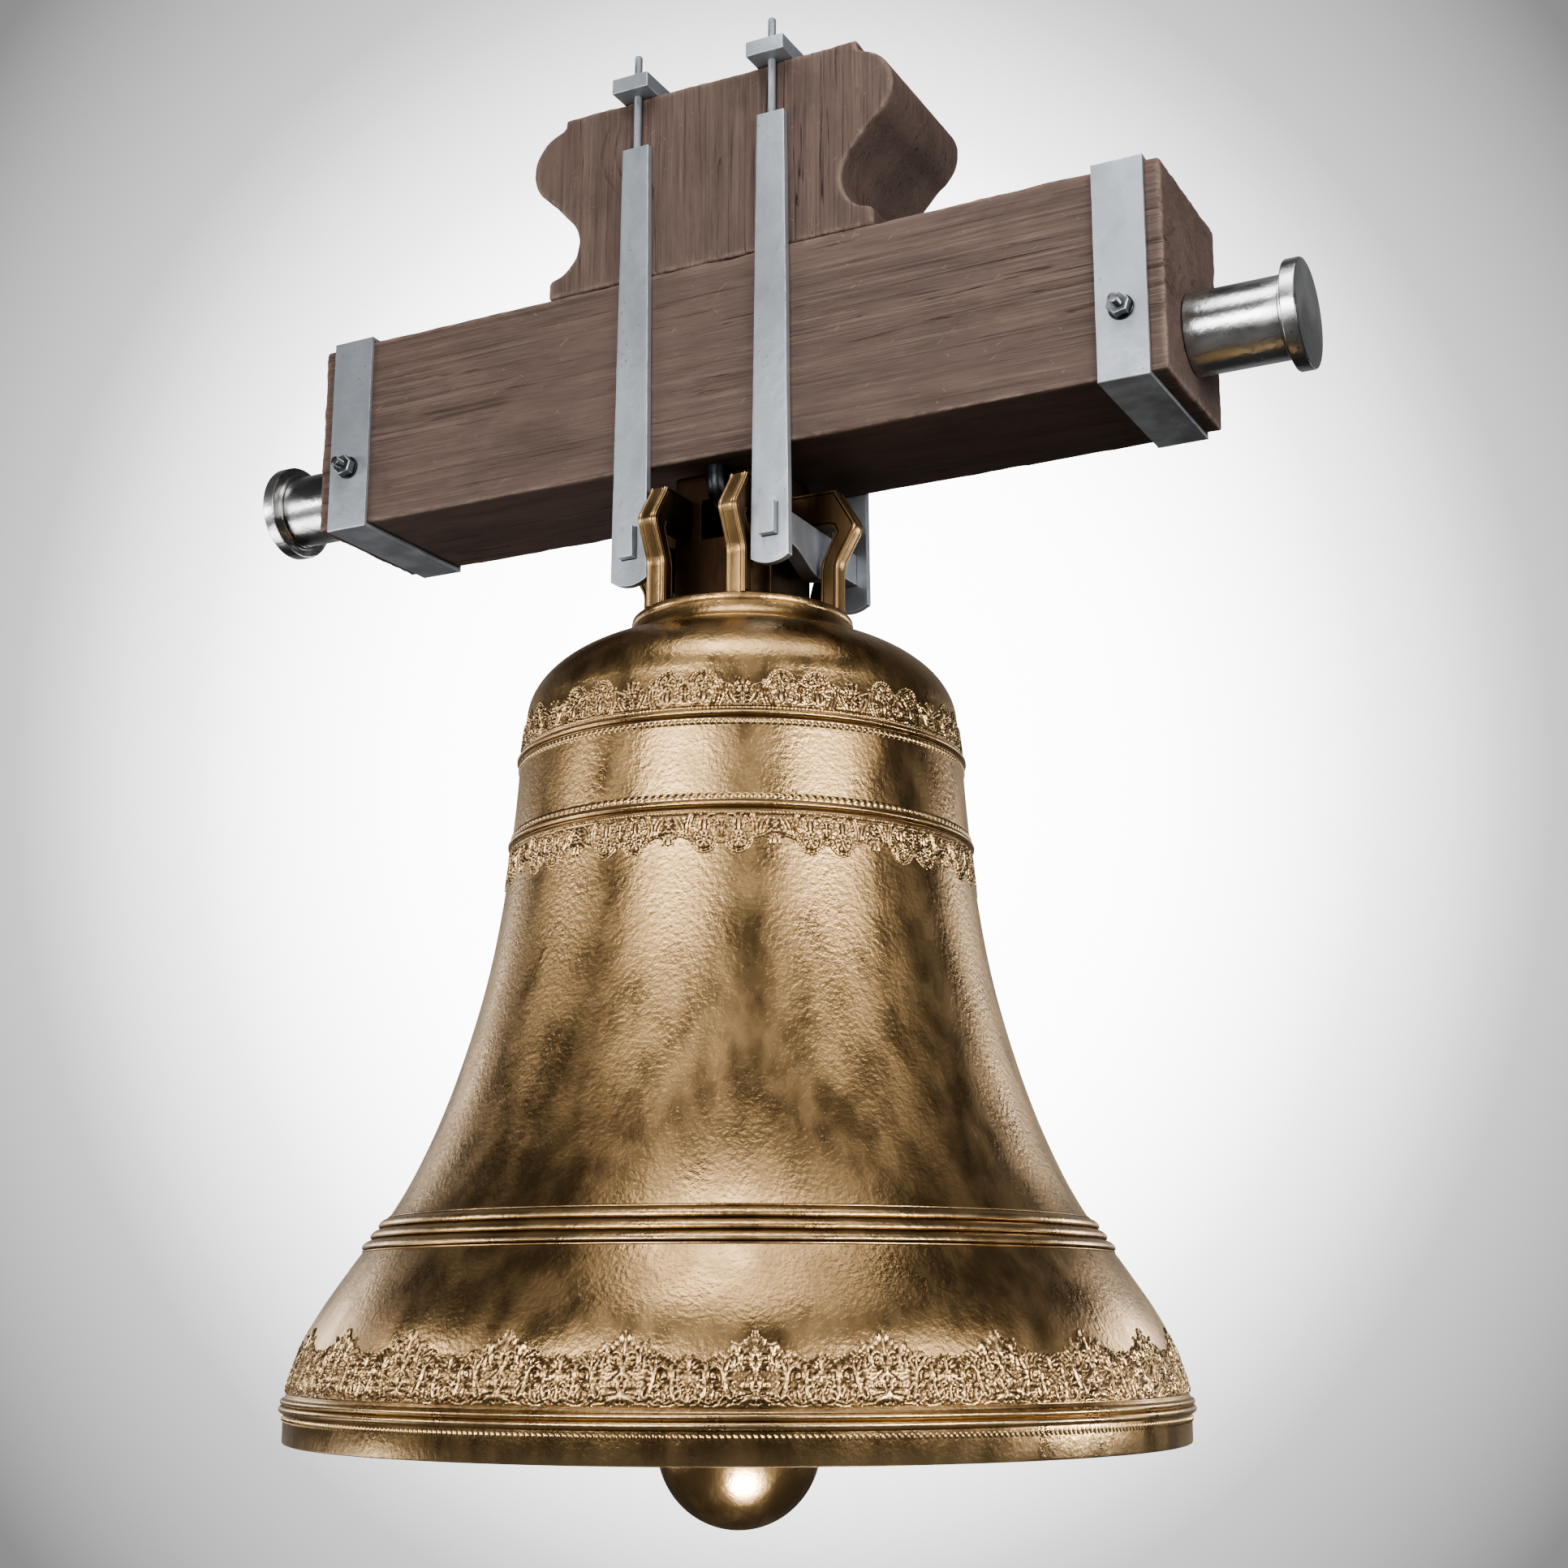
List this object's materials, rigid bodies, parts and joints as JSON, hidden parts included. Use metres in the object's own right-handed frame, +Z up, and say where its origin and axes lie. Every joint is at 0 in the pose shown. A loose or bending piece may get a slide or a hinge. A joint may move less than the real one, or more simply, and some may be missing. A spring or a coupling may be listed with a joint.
{
  "type": "church bell",
  "caption": "Bronze church bell hung by canons and strap hangers from a timber headstock, swinging on gudgeons in sleeves, with a clapper inside.",
  "frame": {"origin": "middle of the gudgeon axis, the line the bell swings about, half way between the two ends", "axes": "+X along the gudgeon axis to the right-hand end, +Y to the back, +Z up"},
  "size_m": [1.4122, 1.01, 1.7818],
  "materials": {
    "bell_bronze": "polished bell bronze with dark patina in the hollows and down the sides",
    "timber": "stained oak, open grain with small drying cracks and paler worn edges",
    "galvanised_steel": "dull galvanised steel with faint mottling and brighter edges",
    "polished_steel": "turned steel, worn bright with oily dark patches",
    "dark_iron": "dark oiled iron"
  },
  "bodies": {
    "root": {"journal_sleeve_left": "polished_steel", "journal_sleeve_right": "polished_steel"},
    "bell": {"bell": "bell_bronze", "headstock_beam": "timber", "headstock_block": "timber", "block_dowel_left": "timber", "block_dowel_right": "timber", "crown_staple": "dark_iron", "clapper_pin": "polished_steel", "clapper_pin_nut": "dark_iron", "crown_u_bolt": "dark_iron", "u_bolt_plate": "dark_iron", "u_bolt_nut_front": "dark_iron", "u_bolt_nut_back": "dark_iron", "gudgeon_left": "polished_steel", "gudgeon_right": "polished_steel", "gudgeon_cap_left": "polished_steel", "gudgeon_cap_right": "polished_steel", "end_band_left": "galvanised_steel", "end_band_right": "galvanised_steel", "band_bolt_left": "dark_iron", "band_bolt_right": "dark_iron", "band_nut_left": "dark_iron", "band_nut_right": "dark_iron", "band_washer_front_left": "dark_iron", "band_washer_front_right": "dark_iron", "band_washer_back_left": "dark_iron", "band_washer_back_right": "dark_iron", "canon_bar_left": "galvanised_steel", "canon_bar_right": "galvanised_steel", "cross_plate_left": "galvanised_steel", "cross_plate_right": "galvanised_steel", "hanger_strap_front_left": "galvanised_steel", "hanger_strap_front_right": "galvanised_steel", "hanger_strap_back_left": "galvanised_steel", "hanger_strap_back_right": "galvanised_steel"},
    "clapper": {"clapper": "bell_bronze", "clapper_bush": "bell_bronze"}
  },
  "joints": [
    {"name": "bell_swing", "type": "hinge", "parent": "root", "child": "bell", "pos_m": [0, 0, 0], "axis": [1, 0, 0], "range_deg": [-60, 60]},
    {"name": "clapper_swing", "type": "hinge", "parent": "bell", "child": "clapper", "pos_m": [0, 0, -0.3903], "axis": [1, 0, 0], "range_deg": [-23.8, 23.8]}
  ]
}
